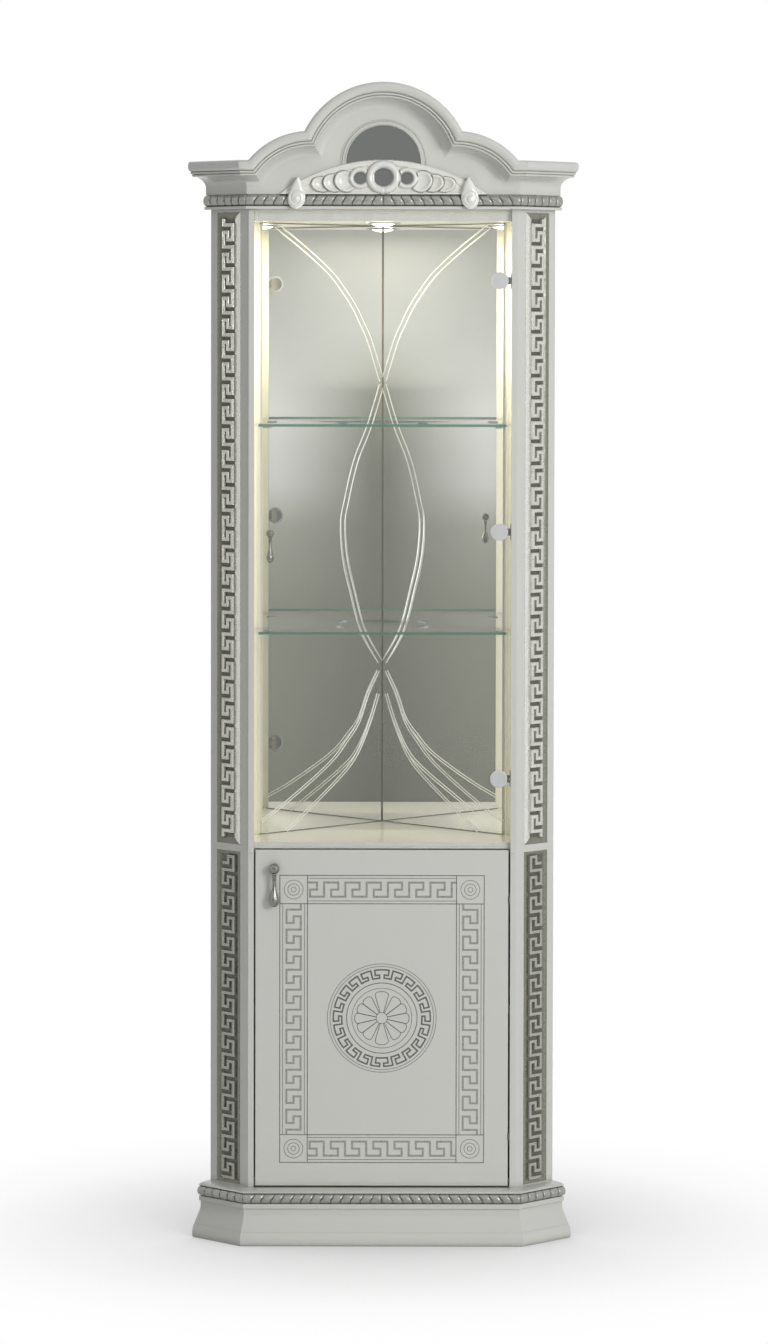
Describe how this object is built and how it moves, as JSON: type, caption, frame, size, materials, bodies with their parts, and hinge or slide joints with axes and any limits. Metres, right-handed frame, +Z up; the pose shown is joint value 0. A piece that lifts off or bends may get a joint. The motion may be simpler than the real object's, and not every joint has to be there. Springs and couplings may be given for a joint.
{
  "type": "corner curio cabinet",
  "caption": "Corner curio cabinet with an arched cornice, a bevelled glass door over a cupboard door, mirrored back, glass shelves and Greek-key fret returns.",
  "frame": {"origin": "centre of the bounding box, on the floor", "axes": "+Z up, the front faces -Y, +X to the right seen from the front"},
  "size_m": [0.7408, 0.462, 2.2],
  "materials": {
    "white_lacquer": "gloss white lacquer",
    "inner_lacquer": "satin cream lacquer",
    "silver_leaf": "aged silver leaf",
    "mirror_glass": "polished",
    "smoked_mirror": "polished, smoked",
    "clear_glass": "clear, polished edges",
    "lamp_lens": "frosted",
    "chrome": "polished",
    "hinge_steel": "darkened",
    "magnet_plastic": "matt"
  },
  "bodies": {
    "cabinet": {"left_post": "white_lacquer", "right_post": "white_lacquer", "left_front_strip": "white_lacquer", "right_front_strip": "white_lacquer", "base_moulding": "white_lacquer", "cornice_crown": "white_lacquer", "pediment_crest": "white_lacquer", "left_back_panel": "inner_lacquer", "right_back_panel": "inner_lacquer", "bottom_board": "inner_lacquer", "middle_deck": "inner_lacquer", "ceiling_board": "inner_lacquer", "top_board": "inner_lacquer", "cupboard_shelf": "inner_lacquer", "upper_left_fret": "silver_leaf", "upper_right_fret": "silver_leaf", "lower_left_fret": "silver_leaf", "lower_right_fret": "silver_leaf", "base_rope": "silver_leaf", "cornice_rope": "silver_leaf", "left_mirror": "mirror_glass", "right_mirror": "mirror_glass", "pediment_pane": "smoked_mirror", "upper_glass_shelf": "clear_glass", "lower_glass_shelf": "clear_glass", "spotlight_lens": "lamp_lens", "spotlight_bezel": "chrome", "upper_shelf_front_left_pin": "chrome", "upper_shelf_front_right_pin": "chrome", "upper_shelf_rear_left_pin": "chrome", "upper_shelf_rear_right_pin": "chrome", "lower_shelf_front_left_pin": "chrome", "lower_shelf_front_right_pin": "chrome", "lower_shelf_rear_left_pin": "chrome", "lower_shelf_rear_right_pin": "chrome", "cupboard_shelf_front_left_pin": "chrome", "cupboard_shelf_front_right_pin": "chrome", "cupboard_shelf_rear_left_pin": "chrome", "cupboard_shelf_rear_right_pin": "chrome", "lower_glass_hinge_leaf": "hinge_steel", "middle_glass_hinge_leaf": "hinge_steel", "upper_glass_hinge_leaf": "hinge_steel", "lower_cupboard_hinge_post_leaf": "hinge_steel", "upper_cupboard_hinge_post_leaf": "hinge_steel", "cupboard_catch": "magnet_plastic"},
    "glass_door": {"glass_door": "clear_glass", "lower_glass_hinge_cap": "chrome", "lower_glass_hinge_cup": "chrome", "middle_glass_hinge_cap": "chrome", "middle_glass_hinge_cup": "chrome", "upper_glass_hinge_cap": "chrome", "upper_glass_hinge_cup": "chrome", "glass_pull": "chrome"},
    "cupboard_door": {"lower_door": "white_lacquer", "lower_cupboard_hinge_door_leaf": "hinge_steel", "upper_cupboard_hinge_door_leaf": "hinge_steel", "lower_pull": "chrome", "cupboard_strike": "hinge_steel"},
    "glass_pull_drop": {"glass_pull_drop": "chrome"},
    "cupboard_pull_drop": {"lower_pull_drop": "chrome"}
  },
  "joints": [
    {"name": "glass_door_swing", "type": "hinge", "parent": "cabinet", "child": "glass_door", "pos_m": [0.2413, -0.1695, 1.352], "axis": [0, 0, 1], "range_deg": [0, 95]},
    {"name": "cupboard_door_swing", "type": "hinge", "parent": "cabinet", "child": "cupboard_door", "pos_m": [0.2413, -0.1695, 0.42675], "axis": [0, 0, 1], "range_deg": [0, 95]},
    {"name": "glass_pull_tilt", "type": "hinge", "parent": "glass_door", "child": "glass_pull_drop", "pos_m": [-0.213, -0.18084, 1.33798], "axis": [-1, 0, 0], "range_deg": [0, 85]},
    {"name": "cupboard_pull_tilt", "type": "hinge", "parent": "cupboard_door", "child": "cupboard_pull_drop", "pos_m": [-0.2045, -0.1847, 0.6985], "axis": [-1, 0, 0], "range_deg": [0, 85]}
  ]
}
